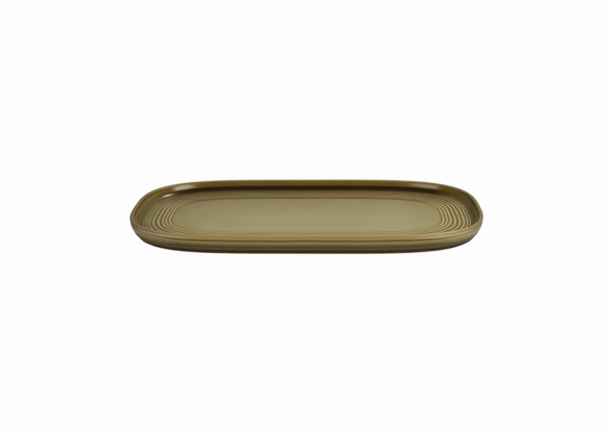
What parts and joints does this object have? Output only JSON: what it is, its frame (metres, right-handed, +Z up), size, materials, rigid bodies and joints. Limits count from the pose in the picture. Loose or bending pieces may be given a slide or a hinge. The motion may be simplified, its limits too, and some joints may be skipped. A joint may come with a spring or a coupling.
{
  "type": "oval serving plate",
  "caption": "Low oval stoneware serving plate with a rounded lip, concentric throwing rings around a plain well and a bare oval foot ring, coated in olive-brown reactive glaze.",
  "frame": {"origin": "centre of the plane that the foot ring stands on", "axes": "+X along the plate's length, +Y across its width, +Z up out of the well"},
  "size_m": [0.33, 0.175, 0.02],
  "materials": {
    "bare_stoneware": "unglazed fired stoneware, matt and slightly sandy",
    "olive_glaze": "glossy olive reactive glaze that breaks to amber brown on the lip, the wall and the ring grooves"
  },
  "bodies": {
    "root": {"stoneware_body": "bare_stoneware", "glaze_coat": "olive_glaze", "base_glaze": "olive_glaze"}
  },
  "joints": []
}
